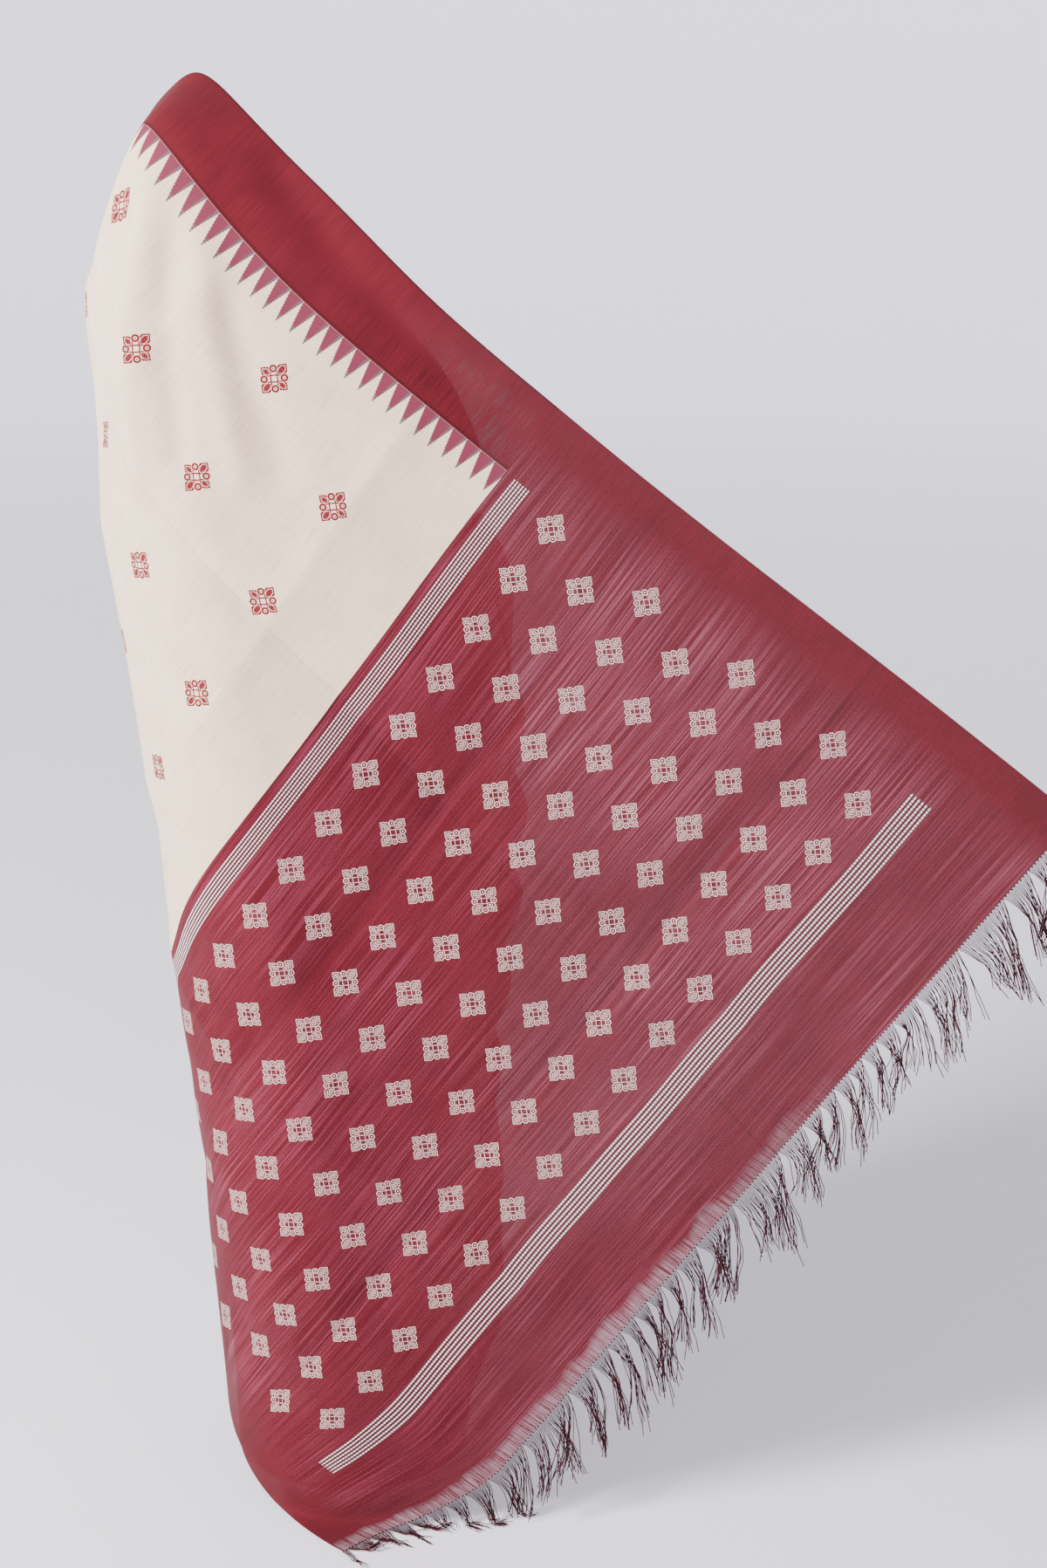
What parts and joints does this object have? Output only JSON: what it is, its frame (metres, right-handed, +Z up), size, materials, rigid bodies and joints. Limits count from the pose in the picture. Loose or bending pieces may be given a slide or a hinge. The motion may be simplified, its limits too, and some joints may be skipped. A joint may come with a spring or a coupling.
{
  "type": "saree worn in the nivi way, its end spread across the back",
  "caption": "Saree wound round the hips, pleated in front and carried over the left shoulder, its patterned, fringed end spread wide behind.",
  "frame": {"origin": "the centre of the waist, where the wearer's body holds the saree, 1.12 m above the floor", "axes": "+Z is up, the wearer faces -Y, and the wearer's left shoulder is towards +X"},
  "size_m": [1.0006, 0.4916, 1.508],
  "materials": {
    "cream_cloth": "fine plain-woven cream cloth with small figured motifs and maroon borders",
    "maroon_cloth": "sheer maroon cloth with rows of cream figured motifs",
    "fringe_thread": "loose dark maroon threads"
  },
  "bodies": {
    "root": {"skirt_first_turn": "cream_cloth", "skirt_second_turn": "cream_cloth", "front_pleats": "cream_cloth", "front_drape": "cream_cloth", "shoulder_fall": "cream_cloth", "spread_end": "maroon_cloth", "fringe_upper": "fringe_thread", "fringe_middle": "fringe_thread", "fringe_lower": "fringe_thread"}
  },
  "joints": []
}
